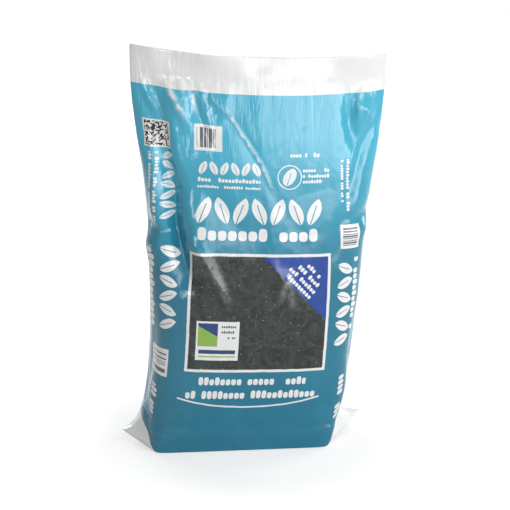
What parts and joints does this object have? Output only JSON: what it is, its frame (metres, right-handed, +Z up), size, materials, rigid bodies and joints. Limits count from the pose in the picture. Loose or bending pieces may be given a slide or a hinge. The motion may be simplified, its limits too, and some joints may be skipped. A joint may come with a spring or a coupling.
{
  "type": "bag of topsoil",
  "caption": "Full pillow sack of printed polythene film for garden soil, welded flat at both ends and standing on its folded base, with creased film, a loose header and corner ears.",
  "frame": {"origin": "on the surface that the sack stands on, under the middle of its whole box", "axes": "+Z up to the loose top edge, +X to the right as seen from the front, and the printed front faces -Y"},
  "size_m": [0.421, 0.153, 0.647],
  "materials": {
    "printed_film": "glossy printed polythene film, teal with white ends and simple fields of colour"
  },
  "bodies": {
    "root": {"sack": "printed_film"}
  },
  "joints": []
}
